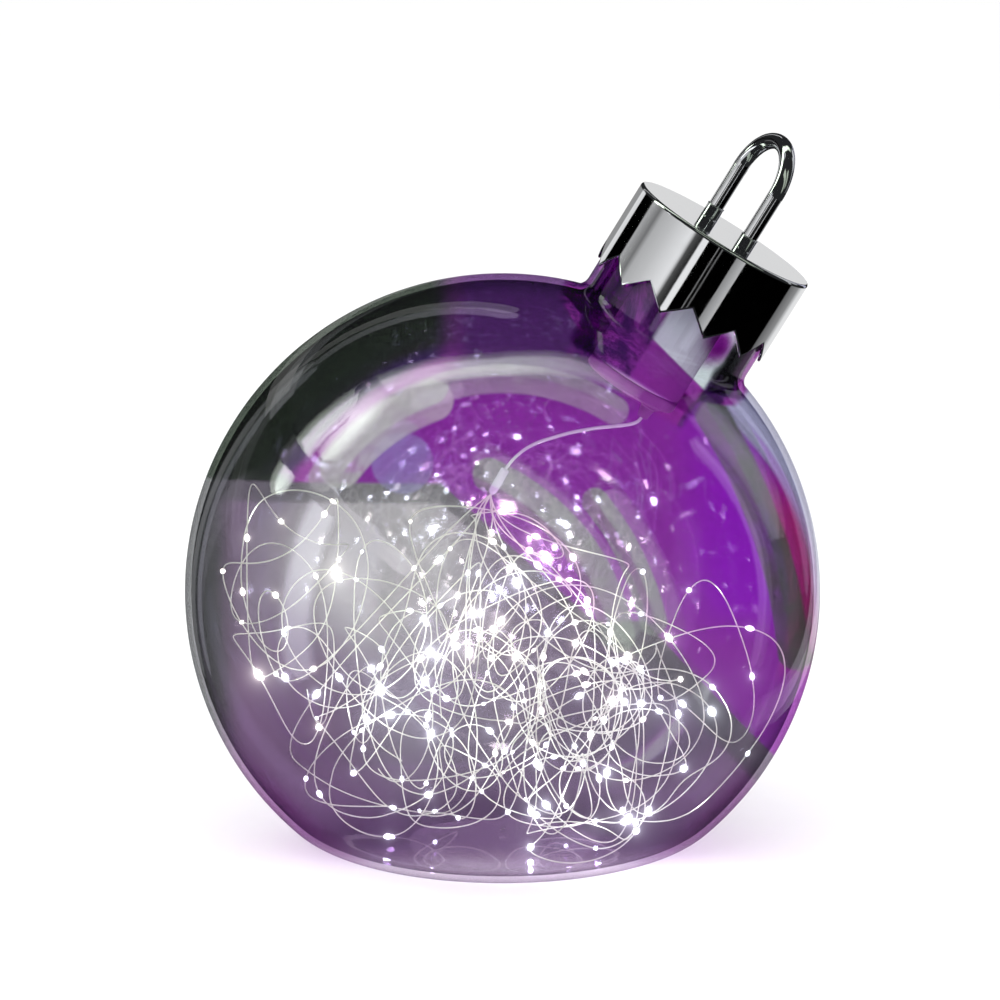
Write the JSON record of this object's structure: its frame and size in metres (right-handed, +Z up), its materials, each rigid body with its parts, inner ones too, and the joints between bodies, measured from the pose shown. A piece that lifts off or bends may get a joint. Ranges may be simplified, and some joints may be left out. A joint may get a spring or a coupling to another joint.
{
  "type": "decorative ball light",
  "caption": "Battery lamp shaped like a large tree ornament: tilted violet glass ball on a flattened foot, chrome crown with a hanging loop, LED wire nest inside.",
  "frame": {"origin": "centre of the flattened foot, on the surface that the lamp stands on, straight under the ball's centre", "axes": "+Z up; the neck leans 31.3 degrees from +Z towards +X; the front of the lamp faces -Y"},
  "size_m": [0.25, 0.25, 0.2843],
  "materials": {
    "glass": "polished",
    "chrome": "polished",
    "steel": "satin",
    "clear_plastic": "gloss",
    "black_plastic": "matte",
    "silicone": "matte",
    "cell_wrap": "satin",
    "board": "matte",
    "red_wire": "gloss",
    "black_wire": "gloss",
    "clear_wire": "gloss",
    "led_wire": "satin"
  },
  "bodies": {
    "root": {"glass_globe": "glass", "lid_screw_1": "steel", "lid_screw_2": "steel", "contact_spring_1": "steel", "contact_spring_2": "steel", "contact_spring_3": "steel", "base_plate_single": "steel", "base_plate_link": "steel", "top_plate_link": "steel", "top_plate_single": "steel", "battery_housing": "clear_plastic", "housing_base": "clear_plastic", "housing_lid": "clear_plastic", "lead_grommet": "clear_plastic", "switch_body": "black_plastic", "neck_gasket": "silicone", "grip_ring": "silicone", "cell_1": "cell_wrap", "cell_2": "cell_wrap", "cell_3": "cell_wrap", "timer_board": "board", "supply_wire_red": "red_wire", "battery_wire": "black_wire", "supply_wire_black": "black_wire", "lead_cable": "clear_wire", "strand_splice": "clear_wire", "led_nest": "led_wire"},
    "crown": {"crown_cap": "chrome", "hanging_loop": "chrome", "loop_collar_1": "chrome", "loop_collar_2": "chrome", "loop_washer_1": "steel", "loop_washer_2": "steel", "loop_nut_1": "steel", "loop_nut_2": "steel"},
    "switch": {"switch_knob": "clear_plastic"}
  },
  "joints": [
    {"name": "crown_lift", "type": "slide", "parent": "root", "child": "crown", "axis": [0.5195, 0, 0.8545], "range_m": [0, 0.06]},
    {"name": "timer_switch", "type": "slide", "parent": "root", "child": "switch", "axis": [0, 1, 0], "range_m": [-0.002, 0.002]}
  ]
}
